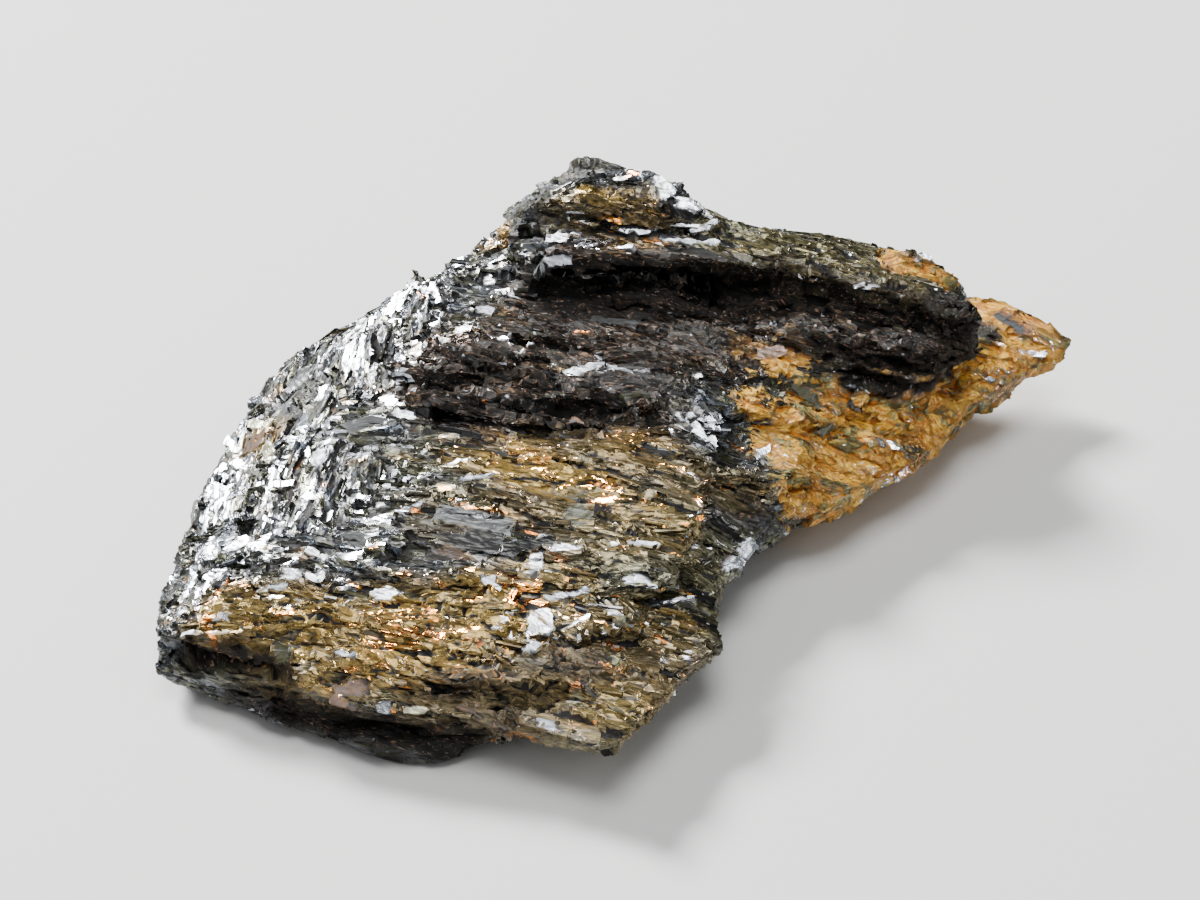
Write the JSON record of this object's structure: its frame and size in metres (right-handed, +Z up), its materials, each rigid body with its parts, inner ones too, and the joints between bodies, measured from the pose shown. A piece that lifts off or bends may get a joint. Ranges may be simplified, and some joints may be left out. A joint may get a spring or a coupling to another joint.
{
  "type": "nuummite specimen",
  "caption": "Raw flake of black bladed nuummite rock with a stepped ridge, a thin rust-stained edge and a flat base.",
  "frame": {"origin": "middle of the bounding box at the base, on the flat base face", "axes": "+X along the stone's longest side, towards its thin tip; +Z up; the blades run from -X +Y to +X -Y, about 38 degrees from X"},
  "size_m": [0.0514, 0.0362, 0.0136],
  "materials": {
    "nuummite": "bladed, glinting"
  },
  "bodies": {
    "root": {"nuummite_stone": "nuummite"}
  },
  "joints": []
}
